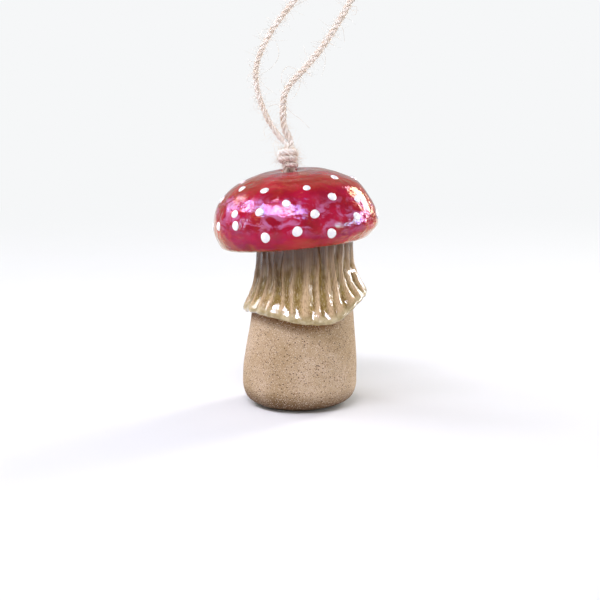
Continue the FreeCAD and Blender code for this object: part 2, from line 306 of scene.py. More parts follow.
def make_glaze():
    """Thick red glaze under a thin lustre that turns orange and lilac where light catches it."""
    glaze = Shader(
        "red_glaze", Roughness=0.1, Specular_IOR_Level=0.32, Coat_Weight=0.7, Coat_Roughness=0.03,
        Coat_IOR=1.38, Thin_Film_IOR=1.18,
    )
    crimson, scarlet, thin_red = rgb(146, 0, 24), rgb(174, 6, 44), rgb(190, 36, 52)
    gold, lilac, rim_shade_red = rgb(200, 104, 52), rgb(212, 140, 192), rgb(100, 0, 18)
    height = glaze.axis("Z")
    cloud = glaze.noise(0.14, 3, 0.55)
    streak = glaze.noise(0.5, 3, 0.6, glaze.stretch(0.7, 0.7, 2.2))
    color = glaze.mix(glaze.ramp(cloud, 0.35, 0.68), crimson, scarlet)
    color = glaze.mix(glaze.ramp(streak, 0.52, 0.75, 0, 0.4), color, thin_red)
    fleck = glaze.times(glaze.ramp(glaze.noise(0.16, 2), 0.6, 0.72), glaze.ramp(streak, 0.45, 0.65))
    color = glaze.mix(glaze.times(fleck, 0.4), color, gold)

    # Lilac clouds in a band half way up the cap: partly the glaze's pearly lustre, partly a painted
    # lilac reflection
    band = glaze.times(glaze.ramp(height, 60.0, 65.0), glaze.ramp(height, 69.0, 74.0, 1.0, 0.0))
    pearl_and_sheen = glaze.noise(0.17, 3, 0.6, glaze.stretch(1, 1, 1.6), warp=0.8)
    pearl_and_sheen = glaze.times(band, glaze.ramp(pearl_and_sheen, 0.46, 0.64))
    color = glaze.mix(glaze.times(pearl_and_sheen, 0.5), color, lilac)
    # Darker towards the rim: painted shade on the lower band of the cap
    rim = glaze.ramp(glaze.plus(height, glaze.times(cloud, 3.0)), 54.5, 61.5, 0.7, 0.0)
    color = glaze.mix(rim, color, rim_shade_red)

    # The film's thickness is in nanometres. It grows to the sides, so that it stays lilac at a slant
    drift = glaze.ramp(glaze.noise(0.16, 2, 0.5, warp=0.5), 0.3, 0.7, 330.0, 420.0)
    film = glaze.plus(drift, glaze.times(glaze.math("ABSOLUTE", glaze.axis("X")), 4.2))
    normal = glaze.bump(glaze.noise(0.22, 3, 0.5), 0.5)
    normal = glaze.bump(streak, 0.11, normal)
    normal = glaze.bump(glaze.noise(1.7, 2, 0.5), 0.012, normal)
    return glaze.done(Base_Color=color, Thin_Film_Thickness=film, Normal=normal, Coat_Normal=normal)


def make_slip():
    """Glossy white slip."""
    slip = Shader("white_slip", Roughness=0.22, Coat_Weight=0.6, Coat_Roughness=0.06)
    color = slip.mix(slip.ramp(slip.noise(0.9, 2), 0.4, 0.7), rgb(236, 234, 238), rgb(250, 249, 247))
    return slip.done(Base_Color=color, Normal=slip.bump(slip.noise(1.3, 2), 0.08))


def make_stoneware():
    """Bare buff clay, dense with fine dark and pale grog, darker at the foot from toast and painted
    shade, with a painted shadow and a brown glaze edge under the hem.

    Its attribute "share" is the height above the hem's underside.
    """
    clay = Shader("buff_stoneware", Roughness=0.6, Specular_IOR_Level=0.15)
    buff, pale_buff, sandy = rgb(172, 146, 112), rgb(200, 176, 150), rgb(184, 152, 112)
    foot_toast_and_shade, hem_shadow_brown = rgb(92, 64, 36), rgb(112, 70, 30)
    dark_grog, brown_grog, pale_grog = rgb(70, 46, 24), rgb(116, 82, 46), rgb(236, 220, 200)
    cloud = clay.noise(0.06, 3, 0.6)
    grain = clay.noise(2.6, 4, 0.75)
    color = clay.mix(clay.ramp(cloud, 0.35, 0.68), buff, pale_buff)
    color = clay.mix(clay.ramp(grain, 0.42, 0.62, 0, 0.55), color, sandy)
    height = clay.plus(clay.axis("Z"), clay.times(cloud, 4.0))
    # Darker at the foot: partly the clay's toast, partly painted shade where the foot meets the floor
    color = clay.mix(clay.ramp(height, 3.4, 10.4, 0.97, 0.0), color, foot_toast_and_shade)
    # Brown under the hem: partly painted shadow of the hem, partly the brown edge of the glaze
    hem = clay.plus(clay.attribute("share"), clay.times(cloud, 3.0))
    color = clay.mix(clay.ramp(hem, -3.2, 1.6, 0.0, 0.97), color, hem_shadow_brown)
    dark = clay.ramp(clay.cells(1.15), 0.16, 0.34, 0.95, 0.0)
    rare = clay.ramp(clay.noise(0.7, 2), 0.42, 0.52)
    color = clay.mix(clay.times(dark, rare), color, dark_grog)
    fine = clay.ramp(clay.cells(1.9), 0.16, 0.4, 0.9, 0.0)
    crowd = clay.ramp(clay.noise(0.12, 2), 0.35, 0.62, 0.45, 1.0)
    color = clay.mix(clay.times(fine, crowd), color, brown_grog)
    elsewhere = clay.vector("ADD", clay.place, (7.3, 1.1, 4.9))
    pale = clay.ramp(clay.cells(2.1, elsewhere), 0.12, 0.32, 0.9, 0.0)
    color = clay.mix(pale, color, pale_grog)
    normal = clay.bump(grain, 0.06)
    normal = clay.bump(cloud, 0.4, normal)
    return clay.done(Base_Color=color, Normal=normal)


def make_skirt_glaze():
    """Clear glaze over clay: olive in the flutes, pink clay on the ridges and cream on the hem, with
    painted shade under the cap and on the hem's underside.

    Its attribute "share" is the flutes' depth, and "hem" is 1 on the rolled hem and more under it, where
    shade is painted.
    """
    glaze = Shader(
        "skirt_glaze", Roughness=0.1, Specular_IOR_Level=0.3, Coat_Weight=0.6, Coat_Roughness=0.03,
    )
    pink_clay, pale_clay = rgb(194, 160, 116), rgb(220, 190, 154)
    olive, light_olive = rgb(122, 92, 34), rgb(160, 134, 70)
    dark_thread, pale_thread, shade = rgb(110, 78, 34), rgb(226, 202, 164), rgb(78, 40, 8)
    olive_cream, cream = rgb(154, 136, 90), rgb(198, 182, 144)
    underside, speckle = rgb(140, 108, 66), rgb(66, 48, 24)
    groove, hem = glaze.attribute("share"), glaze.attribute("hem")
    streak = glaze.noise(1.0, 3, 0.6, glaze.stretch(1.3, 1.3, 0.1))
    thread = glaze.noise(1.0, 2, 0.5, glaze.stretch(3.0, 3.0, 0.14))
    cloud = glaze.noise(0.35, 3, 0.55)
    ridge = glaze.mix(streak, pink_clay, pale_clay)
    pool = glaze.mix(glaze.ramp(cloud, 0.35, 0.65), olive, light_olive)
    share = glaze.ramp(glaze.plus(groove, glaze.times(streak, 0.5)), 0.35, 1.05)
    color = glaze.mix(share, ridge, pool)
    color = glaze.mix(glaze.ramp(thread, 0.54, 0.66, 0, 0.45), color, dark_thread)
    color = glaze.mix(glaze.ramp(thread, 0.34, 0.46, 0.5, 0), color, pale_thread)
    # Painted shade under the cap: the skirt's top turns deep brown, less so on the right
    height = glaze.plus(glaze.axis("Z"), glaze.times(streak, 6.0))
    height = glaze.math("SUBTRACT", height, glaze.times(glaze.axis("X"), 0.25))
    color = glaze.mix(glaze.ramp(height, 42.0, 57.0, 0.0, 0.94), color, shade)
    rolled = glaze.mix(glaze.ramp(cloud, 0.4, 0.65), olive_cream, cream)
    color = glaze.mix(glaze.ramp(hem, 0.4, 1.05, 0, 0.9), color, rolled)
    # Painted shade on the underside of the hem's lip
    color = glaze.mix(glaze.ramp(hem, 1.0, 1.6, 0, 0.8), color, underside)
    dark = glaze.ramp(glaze.cells(1.5), 0.08, 0.22, 0.9, 0.0)
    color = glaze.mix(glaze.times(dark, glaze.ramp(cloud, 0.46, 0.56)), color, speckle)
    normal = glaze.bump(streak, 0.06)
    normal = glaze.bump(thread, 0.02, normal)
    normal = glaze.bump(glaze.noise(0.35, 1), 0.14, normal)
    return glaze.done(Base_Color=color, Normal=normal, Coat_Normal=normal)


# Twine: the loop first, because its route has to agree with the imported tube

def route_line(points, steps=24):
    """Points on a smooth line whose control points are the route's."""
    curve = bpy.data.curves.new("route", "CURVE")
    curve.dimensions = "3D"
    curve.resolution_u = steps
    spline = curve.splines.new("NURBS")
    spline.points.add(len(points) - 1)
    for knot, point in zip(spline.points, points):
        knot.co = (*point, 1)
    spline.order_u = 3
    spline.use_endpoint_u = True
    carrier = bpy.data.objects.new("route", curve)
    scene.collection.objects.link(carrier)
    bpy.context.view_layer.update()
    mesh = bpy.data.meshes.new_from_object(carrier)
    line = np.array([v.co for v in mesh.vertices])
    bpy.data.objects.remove(carrier)
    bpy.data.meshes.remove(mesh)
    return line


def even(line, step):
    """The same line with points at an even step."""
    gone = np.concatenate([[0], np.cumsum(np.linalg.norm(np.diff(line, axis=0), axis=1))])
    count = max(int(round(gone[-1] / step)), 2)
    where = np.linspace(0, gone[-1], count + 1)
    return np.stack([np.interp(where, gone, line[:, k]) for k in range(3)], -1)


def frames(line):
    """Directions along a line and two steady directions across it."""
    along = unit(np.gradient(line, axis=0))
    across = np.zeros_like(line)
    across[0] = unit(np.cross(along[0], (0.1, 1, 0.2)))
    for i in range(1, len(line)):
        across[i] = unit(across[i - 1] - along[i] * (across[i - 1] @ along[i]))
    return along, across, np.cross(along, across)


def twisted(line, width, plies=3, pitch=6.0, sides=9, step=0.3, taper=0.0, seed=1, swell=0.0):
    """Grids of the plies of a twisted twine along a line, in millimetres.

    Taper is the length over which both ends grow thin. Swell is how much thicker the end is
    than the start.
    """
    ply_offset, ply_radius, own_turns, lump_pitch = 0.255, 0.3, 1.6, 2.2
    line = even(line, step)
    _, across, third = frames(line)
    gone = np.arange(len(line)) * step
    lumps = np.random.default_rng(seed).normal(size=int(gone[-1] / lump_pitch) + 5)
    uneven = 1 + 0.08 * np.interp(gone, np.arange(len(lumps)) * lump_pitch, lumps)
    uneven += swell * (gone / gone[-1] - 0.5)
    ends = np.ones(len(line))
    if taper:
        ends = np.clip(np.minimum(gone, gone[-1] - gone) / taper, 0, 1)
    offset = ply_offset * width * uneven * (0.35 + 0.65 * ends)
    radius = ply_radius * width * uneven * np.sqrt(0.08 + 0.92 * ends)
    grids = []
    for ply in range(plies):
        turn = TURN * (gone / pitch + ply / plies)
        out = across * np.cos(turn)[:, None] + third * np.sin(turn)[:, None]
        middle = line + out * offset[:, None]
        rings = []
        for side in range(sides):
            angle = TURN * side / sides + turn * own_turns
            way = across * np.cos(angle)[:, None] + third * np.sin(angle)[:, None]
            rings.append(middle + way * radius[:, None])
        grids.append(np.stack(rings, 1))
    return grids


jute = make_jute("jute", rgb(218, 194, 170), rgb(243, 232, 220), rgb(246, 238, 230))
# A paler copy of the jute for the knots and strand bends: painted light that lifts them out of their own
# shade
painted_light_jute = make_jute("painted_light_jute", rgb(242, 222, 204), rgb(254, 248, 240), rgb(255, 251, 246))
fibre = make_fibre("jute_fibre")
twine_width = 1.9

loop_route = [
    (-0.0037, 0.0, 0.0877), (-0.0071, 0.0001, 0.0914), (-0.0106, 0.001, 0.098),
    (-0.0133, 0.0015, 0.1068), (-0.013, 0.0016, 0.114), (-0.0084, 0.0014, 0.1236),
    (-0.0024, 0.0009, 0.1316), (0.0044, 0.0003, 0.139), (0.0093, -0.0001, 0.146),
    (0.0146, -0.0004, 0.1514), (0.0212, -0.0006, 0.1526), (0.0252, -0.0008, 0.1476),
    (0.0234, -0.001, 0.1414), (0.0186, -0.0011, 0.1354), (0.0136, -0.0012, 0.1266),
    (0.0083, -0.0013, 0.1183), (0.0016, -0.0014, 0.1106), (-0.0039, -0.0012, 0.105),
    (-0.0043, -0.0006, 0.0972), (-0.0039, 0.0001, 0.0917), (-0.0014, 0.0, 0.0877),
]
loop_line = route_line(loop_route)
loop_grids = twisted(loop_line / MM, twine_width, pitch=6.4, swell=0.25, taper=1.0)
loop_mesh = grid_mesh("hanging_twine", loop_grids, caps=True, uv=True)
loop = link("hanging_twine", loop_mesh, jute, "hanging_loop")
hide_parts("twine_loop")


def fibre_tube(line, radius):
    """A three-sided tube round a line."""
    _, across, third = frames(line)
    angles = (0, 2.1, 4.2)
    return np.stack([line + (across * math.cos(a) + third * math.sin(a)) * radius for a in angles], 1)


def hairs(name, starts, ways, lengths, body, width=0.07, curl=0.5):
    """Loose fibres as thin curved tubes: each starts at a point and bends away."""
    grids = []
    share = np.linspace(0, 1, 8)[:, None]
    for start, way, length in zip(starts, ways, lengths):
        side = unit(np.cross(way, rng.normal(size=3)))
        bend = rng.uniform(-curl, curl) * 2
        wave = rng.uniform(-curl, curl)
        line = start + length * (way * share + side * (bend * share**2 + wave * np.sin(4 * share) * 0.3))
        grids.append(fibre_tube(line, width / 2 * (1 - 0.6 * share)))
    return link(name, grid_mesh(name, grids, caps=True), fibre, body)


def fuzz(name, line, count, reach, low, high, body, lean=1.6, **settings):
    """Short hairs all over a twine that follows a line, in millimetres."""
    line = even(line, 0.4)
    along, across, third = frames(line)
    pick = rng.integers(1, len(line) - 1, count)
    angle = rng.uniform(0, TURN, count)
    out = across[pick] * np.cos(angle)[:, None] + third[pick] * np.sin(angle)[:, None]
    starts = line[pick] + out * reach
    slant = rng.uniform(-lean, lean, count)[:, None]
    ways = unit(out + along[pick] * slant + rng.normal(size=(count, 3)) * 0.3)
    return hairs(name, starts, ways, rng.uniform(low, high, count), body, **settings)


# Long fibres that stand off the loop, through points in millimetres
loose_fibres = [
    [(-15.3, 0, 113.2), (-13.7, 0.4, 111.1), (-12.6, 1.2, 109.8)],
    [(-6.3, 1.0, 120.0), (-5.5, 0, 116.6), (-7.2, -0.4, 113.0), (-11.6, 0.8, 109.4)],
    [(-12.0, 1.2, 109.6), (-10.6, -0.2, 106.6), (-6.2, -1.2, 103.4)],
    [(-4.6, -0.4, 107.2), (-4.5, -1.4, 110.6), (-2.6, -1.8, 112.7), (-0.2, -1.6, 111.9)],
    [(1.5, -1.6, 110.2), (1.2, -2.2, 106.4), (-0.2, -2.4, 103.4), (-1.9, -2.2, 101.8)],
    [(-3.6, -1.0, 100.6), (-1.6, -1.8, 97.8), (1.4, -2.0, 95.6), (4.4, -1.6, 92.6)],
    [(-2.4, 0.9, 130.8), (1.2, 0.4, 132.9), (4.9, 0.2, 134.5), (7.6, 0.4, 134.2)],
    [(8.9, -1.3, 119.6), (9.2, -2.0, 122.6), (11.4, -1.8, 124.2)],
    [(14.0, -1.2, 126.4), (15.3, -1.6, 124.6), (15.8, -2.0, 120.6)],
    [(9.0, -1.4, 118.8), (9.6, -2.2, 114.8), (8.4, -2.4, 109.4)],
    [(17.3, -1.0, 131.8), (19.6, -1.6, 132.0), (19.4, -1.8, 129.6), (18.0, -1.6, 129.4)],
    [(-7.6, 1.2, 124.6), (-10.6, 1.0, 124.4), (-11.6, 0.8, 122.4)],
    [(-13.2, 1.5, 110.6), (-15.4, 1.2, 109.6), (-16.0, 1.0, 107.6)],
    [(-8.8, 0.4, 95.6), (-9.2, -0.6, 98.8), (-6.4, -1.0, 100.4), (-4.6, -1.2, 98.8)],
    [(-7.9, 0.2, 93.8), (-10.4, 0.2, 92.0), (-10.0, 0.2, 89.4)],
    [(5.4, -1.4, 114.8), (3.2, -1.2, 116.9), (2.6, -0.8, 119.4)],
]


def threads(name, lines, body, width=0.13):
    """Long loose fibres through given points."""
    grids = []
    for points in lines:
        line = smooth_rows(points, np.linspace(0, 1, 18))
        grids.append(fibre_tube(line, width / 2 * np.linspace(1, 0.5, len(line))[:, None]))
    return link(name, grid_mesh(name, grids, caps=True), fibre, body)


loop_fuzz = fuzz("twine_fuzz", loop_line / MM, 1100, 0.8, 0.6, 3.0, "hanging_loop", curl=0.9)
loop_threads = threads("twine_threads", loose_fibres, "hanging_loop")


# Knots: turns of the same twine, drawn up round the two strands

# The crown hole leans with the cap, 5 degrees to the left and 1 to the back
crown = np.array([-2.2, 0.0, 78.5])
hole_axis = unit(np.array([-math.tan(math.radians(5)), math.tan(math.radians(1)), 1.0]))


def knot_lines(middle, width, height, spin=0.0):
    """Two strands side by side in slanting turns, and one that crosses over them."""
    side = unit(np.cross(hole_axis, (0, 1, 0)))
    front = np.cross(hole_axis, side)
    share = np.linspace(0, 1, 150)
    rise = height - twine_width
    courses = []
    for number in (0, 1):
        angle = spin + TURN * 1.75 * share + 0.5 * number
        swell = np.sin(math.pi * np.clip(share, 0.03, 0.97)) ** 0.3
        radius = (width / 2 - 0.5 * twine_width) * (1 - 0.06 * number) * swell
        up = (share - 0.5) * rise * 0.62 + (number - 0.5) * 0.34 * rise + 0.9 * np.sin(angle + 0.7)
        courses.append((angle, radius, np.clip(up, -rise / 2, rise / 2)))
    angle = spin + 4.4 - 2.5 * share
    swell = np.sin(math.pi * np.clip(share, 0.06, 0.94)) ** 0.5
    courses.append((angle, (width / 2 - 0.38 * twine_width) * swell, (share - 0.5) * rise * 0.94))
    return [
        middle + np.outer(radius * np.cos(angle), side) + np.outer(radius * np.sin(angle), front)
        + np.outer(up, hole_axis)
        for angle, radius, up in courses
    ]


def make_knot(name, middle, width, height, node, spin=0.0):
    """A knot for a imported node, and the lines that its turns follow. A thick core fills it."""
    grids = []
    lines = knot_lines(middle, width, height, spin)
    for number, line in enumerate(lines):
        grids += twisted(line, twine_width, pitch=4.2, seed=number + 5, taper=0.8)
    core = [middle + hole_axis * (height - 1.6) * s for s in np.linspace(-0.5, 0.5, 12)]
    grids += twisted(np.array(core), 1.7 * twine_width, pitch=5, seed=9, taper=0.8)
    piece = link(name, grid_mesh(name, grids, caps=True, uv=True), painted_light_jute, "knots")
    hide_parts(node)
    return piece, lines


cap_wall, twine_travel, knot_gap = 4.3, 3.5, 0.3
knot_middle = crown + hole_axis * (knot_gap + 3.85)
crown_knot, crown_lines = make_knot("crown_knot_twine", knot_middle, 6.8, 8.1, "crown_knot", 0.6)
inner_middle = crown - hole_axis * (cap_wall + twine_travel + knot_gap + 3.2)
inner_knot, inner_lines = make_knot("inner_knot_twine", inner_middle, 7.4, 6.4, "retaining_knot", 2.0)

# Above the crown knot both strands rise out of it and bend with the loop
bend_grids = []
for strand in (
    [(-2.6, -0.1, 84.6), (-2.9, -0.2, 86.6), (-3.6, 0.0, 87.6), (-4.3, 0.0, 88.4)],
    [(-2.2, 0.2, 84.6), (-1.7, 0.2, 86.6), (-1.5, 0.0, 87.6), (-1.95, 0.0, 88.6)],
):
    bend_grids += twisted(np.array(strand), twine_width, pitch=5.2, seed=14, taper=0.4, step=0.15)
bend_mesh = grid_mesh("strand_bends", bend_grids, caps=True, uv=True)
bends = link("strand_bends", bend_mesh, painted_light_jute, None)
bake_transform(bends)

knot_fuzz = fuzz(
    "knot_fuzz", np.concatenate(crown_lines), 900, 0.95, 0.6, 2.4, "knots", curl=1.2, lean=3.4,
)
inner_fuzz = fuzz("inner_knot_fuzz", np.concatenate(inner_lines), 120, 0.8, 0.8, 2.5, "knots", curl=0.8)

# Below the inner knot hang the two cut ends
tail_length, tail_splay = 11, 9
tail_grids = []
for side in (-1, 1):
    root = inner_middle + np.array([side * 2.28, 0, -2.4])
    lean = math.radians(tail_splay * side)
    way = unit(np.array([math.sin(lean), 0.25 * side * abs(math.sin(lean)), -math.cos(lean)]))
    line = np.array([root + way * reach for reach in np.linspace(0, tail_length, 20)])
    tail_grids += twisted(line, twine_width, seed=side + 20)
tail_mesh = grid_mesh("tail_twine", tail_grids, caps=True, uv=True)
tails = link("tail_twine", tail_mesh, jute, "knots")
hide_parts("twine_tails")

# Through the hole pass two strands, whose upper ends stay hidden in the crown knot
through_grids = []
for side in (-1, 1):
    heights = np.linspace(-7.8, 1.4, 18)
    line = np.array([crown + hole_axis * height + np.array([side * 1.1, 0, 0]) for height in heights])
    through_grids += twisted(line, twine_width, seed=side + 30)
through_mesh = grid_mesh("through_strands", through_grids, caps=True, uv=True)
through = link("through_strands", through_mesh, jute, "strands")
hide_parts("through_twine")


# Cap: a thick bowl of red glazed clay

rim_height, cap_height, cap_radius = 54.0, 24.5, 27.1

# Down the outside: shares of the height, the radius, the lean to the left and back, and the shift
cap_ring_shares = [
    (1.000, 0.055, 0.90, 0.20, 1.00),
    (0.998, 0.170, 0.90, 0.20, 0.82),
    (0.978, 0.370, 0.90, 0.25, 0.55),
    (0.945, 0.480, 0.80, 0.30, 0.43),
    (0.905, 0.580, 0.70, 0.30, 0.32),
    (0.800, 0.762, 0.55, 0.30, 0.14),
    (0.600, 0.915, 0.16, 0.30, 0.05),
    (0.412, 0.990, 0.11, 0.40, 0.00),
    (0.220, 1.000, 0.55, 0.60, 0.00),
    (0.073, 0.930, 1.00, 0.85, 0.00),
    (0.018, 0.875, 1.00, 0.95, 0.00),
    (0.000, 0.815, 0.97, 1.00, 0.00),
]
cap_rows = [
    (rim_height + cap_height * h, cap_radius * r, 5.6 * left, 4.8 * back, -2.2 * shift)
    for h, r, left, back, shift in cap_ring_shares
]


def cap_at(azimuth, share):
    """The place on the cap at an azimuth in degrees and a share of the way down to the rim."""
    height, radius, left, back, shift = smooth_rows(cap_rows, [share])[0]
    x, y = radius * math.cos(math.radians(azimuth)), radius * math.sin(math.radians(azimuth))
    lift = x * math.tan(math.radians(left)) - y * math.tan(math.radians(back))
    return np.array([shift + x, y, height + lift])


def hole_ring(depth, radius):
    """A circle round the crown hole's axis, at a depth under the crown."""
    flat = ring(0, radius)
    side = unit(np.cross((0, 1, 0), hole_axis))
    front = np.cross(hole_axis, side)
    return crown - hole_axis * depth + flat[:, :1] * side + flat[:, 1:2] * front


def make_cap():
    """One closed skin: up the hole, down the outside, round the lip and up under the ceiling."""
    # Depths and radii of the hole, which widens at its upper edge
    hole = [(cap_wall - 0.1, 2.4), (1.0, 2.4), (0.45, 2.55), (0.15, 2.85)]
    rings = [hole_ring(*row) for row in hole]
    hole_edge, outer_courses, inner_courses = 0.115, 110, 48
    for row in smooth_rows(cap_rows, np.linspace(hole_edge, 1, outer_courses)):
        rings.append(ring(*row))
    height, radius, left, back, shift = cap_rows[-1]
    rings.append(ring(height - 0.05, radius - 0.45, left, back, shift))
    rings.append(ring(height + 0.1, radius - 1.0, left, back, shift))

    # The inside follows the outside at the wall's thickness, from above the lip to the ceiling
    inner = [(height + 0.5, radius - 1.25, left, back, shift)]
    for i in range(8, 0, -1):
        (z0, r0), (z1, r1) = cap_rows[i - 1][:2], cap_rows[i + 1][:2]
        z, r, lean, tilt, aside = cap_rows[i]
        run = math.hypot(z1 - z0, r1 - r0)
        inner.append((z - cap_wall * (r1 - r0) / run, r - cap_wall * (z0 - z1) / run, lean, tilt, aside))
    for row in smooth_rows(inner, np.linspace(0, 1, inner_courses)):
        rings.append(ring(*row))
    grid = np.stack(rings)

    # The outside is a little uneven, but for its first two rings, at the hole
    middle = np.array([0, 0, 60.0])
    outside = grid[len(hole) + 2:len(hole) + outer_courses]
    uneven = 0.06 * waves(outside, 16, 3) + 0.02 * waves(outside, 6, 4)
    outside += unit(outside - middle) * uneven[..., None]
    return outward(grid_mesh("red_cap", [grid], closed_rows=True))


cap = link("red_cap", make_cap(), make_glaze(), "ornament")
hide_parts("cap")


# Spots of slip, a little irregular, each standing on the glaze: azimuth, share of the way down, size

spot_shares = [
    (177, 0.39, 0.80), (-152, 0.43, 0.84), (-120, 0.43, 0.92), (-78, 0.42, 0.84), (-32, 0.36, 0.88),
    (13, 0.44, 0.86), (-174, 0.53, 0.88), (-139, 0.59, 0.92), (-117, 0.56, 0.94), (-97, 0.51, 0.90),
    (-76, 0.57, 0.98), (-58, 0.49, 0.96), (-33, 0.52, 0.88), (180, 0.70, 0.90), (-158, 0.68, 0.92),
    (-136, 0.66, 0.98), (-111, 0.72, 1.06), (-89, 0.68, 1.06), (-65, 0.71, 1.04), (-42, 0.61, 0.92),
    (-7, 0.64, 0.98), (16, 0.68, 1.02), (40, 0.71, 0.98), (64, 0.67, 1.04), (88, 0.72, 1.02),
    (112, 0.68, 0.98), (136, 0.71, 1.04), (158, 0.66, 0.94), (26, 0.54, 0.94), (50, 0.57, 0.90),
    (76, 0.52, 0.96), (100, 0.56, 0.92), (126, 0.53, 0.94), (150, 0.57, 0.90), (46, 0.38, 0.86),
    (82, 0.42, 0.88), (116, 0.38, 0.84), (146, 0.44, 0.88),
]


def make_spots():
    """Low domes of slip, whose walls reach a little under the glaze."""
    sides, levels = 28, np.linspace(-0.25, 1, 12)
    spot_radius, spot_rise = 1.5, 0.52
    angle = np.linspace(0, TURN, sides, endpoint=False)
    grids = []
    for azimuth, share, size in spot_shares:
        place = cap_at(azimuth, share)
        across = unit(cap_at(azimuth + 1, share) - cap_at(azimuth - 1, share))
        down = cap_at(azimuth, share + 0.01) - cap_at(azimuth, share - 0.01)
        normal = unit(np.cross(down, across))
        down = np.cross(across, normal)
        uneven = 1 + 0.05 * np.sin(2 * angle + rng.uniform(0, 6))
        uneven += 0.03 * np.sin(3 * angle + rng.uniform(0, 6))
        slump = rng.uniform(0.0, 0.12)
        rings = []
        for level in levels:
            above = max(level, 0)
            reach = math.sqrt(max(1 - above**1.7, 0.0004)) * (1 if level >= 0 else 1.03)
            lift = spot_rise * level if level > 0 else 1.2 * level
            flat = spot_radius * size * reach * uneven
            rings.append(
                place + normal * lift + np.outer(flat * np.cos(angle), across)
                + np.outer(flat * np.sin(angle) + slump * (1 - above), down)
            )
        grids.append(np.stack(rings))
    return outward(grid_mesh("white_spots", grids, caps=True))


spots = link("white_spots", make_spots(), make_slip(), "ornament")
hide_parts("cap_spots")


# The hem hangs lower in front than behind, and higher on the right

hem_shares = np.array([0.55, 0.30, 0.00, -0.35, -0.15, 0.15, 0.10, 0.45, 0.10, -0.70, -1.00, 0.20])
hem_droop, hem_lean = 3.2, 5.6
skirt_low, skirt_lip, hem_radius = 34.2, 1.4, 20.65


def hem_lift(azimuth):
    """How much the hem is raised at azimuths in degrees, in millimetres."""
    count = len(hem_shares)
    step = (azimuth % 360) / (360 / count)
    i = step.astype(int)
    hang = between(*(hem_shares[(i + k) % count] for k in (-1, 0, 1, 2)), step - i)
    return hem_droop * hang + np.cos(np.radians(azimuth)) * hem_radius * math.tan(math.radians(hem_lean))


# Stem: a turned clay tube, open at the foot

def make_stem():
    """One closed skin: up the outside, down the inside and out under the foot."""
    sides, outer_courses, inner_courses = 144, 90, 60
    belly, waist, neck, foot = 19.0, 16.7, 13.2, 12.6
    spread = belly - foot

    # Heights, radii and shifts to the right, up the outside and down the inside
    outer = [
        (0, foot, 0.4), (0.86, foot + 0.36 * spread, 0.81), (2.66, foot + 0.78 * spread, 1.09),
        (5.89, foot + 0.98 * spread, 1.23), (9.5, belly, 1.27), (13.8, belly - 0.02 * spread, 1.41),
        (20.8, 18.13, 1.78), (26.8, 17.39, 2.1), (33.5, waist, 2.3), (38.5, neck + 2.52, 2.3),
        (42.1, neck + 0.98, 3.0), (45.0, neck, 3.0), (58.0, neck, 3.0), (71.5, neck, 3.0),
    ]
    inner = [
        (73.5, neck - 3.2, 3.0), (60.0, neck - 3.2, 3.0), (45.0, neck - 3.2, 3.0),
        (33.5, waist - 3.7, 2.3), (26.8, 13.69, 2.1), (13.8, 15.3, 1.41), (7.1, 15.3, 1.23),
        (3.2, 13.1, 0.6), (1.2, 9.9, 0.4), (0.25, 9.85, 0.4), (0.0, 10.2, 0.4),
    ]
    rows = [(0.0, foot - 0.5, 0.4), (0.12, foot + 0.35, 0.4)]
    rows += list(smooth_rows(outer, np.linspace(0.035, 1, outer_courses)))
    rows += list(smooth_rows(inner, np.linspace(0, 1, inner_courses)))
    grid = np.stack([ring(z, r, shift=x, count=sides) for z, r, x in rows])

    # The outside is a little uneven, but the foot stays flat
    outside = grid[2:2 + outer_courses]
    away = outside - np.array([1.5, 0, 0])
    away[..., 2] = 0
    fade = np.clip((outside[..., 2] - 1.0) / 6, 0, 1)
    uneven = fade * (0.07 * waves(outside, 22, 8) + 0.025 * waves(outside, 7, 9))
    outside += unit(away) * uneven[..., None]
    hem_underside = skirt_low - skirt_lip + hem_lift(np.linspace(0, 360, sides, endpoint=False))
    below_hem = grid[..., 2] - hem_underside
    return outward(grid_mesh("clay_stem", [grid], closed_rows=True, values=[below_hem]))


stem = link("clay_stem", make_stem(), make_stoneware(), "ornament")
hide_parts("stem_body")


# Skirt: flutes pressed down a flared collar, fading at a rolled hem

# Azimuths and depths of the flutes
groove_shares = [
    (-173, 0.7), (-160, 0.9), (-145, 1.0), (-133, 0.6), (-122, 1.0), (-109, 0.7), (-97.5, 0.8),
    (-81, 0.8), (-70.5, 1.2), (-59, 0.7), (-47, 1.0), (-34, 0.8), (-18, 1.0), (-4, 0.7),
    (9, 1.0), (22, 0.8), (34, 0.9), (48, 1.1), (61, 0.7), (73, 1.0), (87, 0.8),
    (100, 1.0), (112, 0.7), (126, 1.1), (139, 0.9), (151, 0.7), (164, 1.0), (176, 0.8),
]

# How far each flute is a broad channel between thin ridges, or else a thin line between broad ones
channel_shares = [
    0.9, 1.0, 0.9, 1.0, 0.9, 1.0, 0.8, 0.3, 0.5, 0.1, 0.3, 0.1, 0.4, 0.2,
    0.6, 0.2, 0.5, 0.8, 0.4, 0.7, 0.9, 0.5, 0.8, 0.4, 0.9, 0.6, 0.8, 0.9,
]


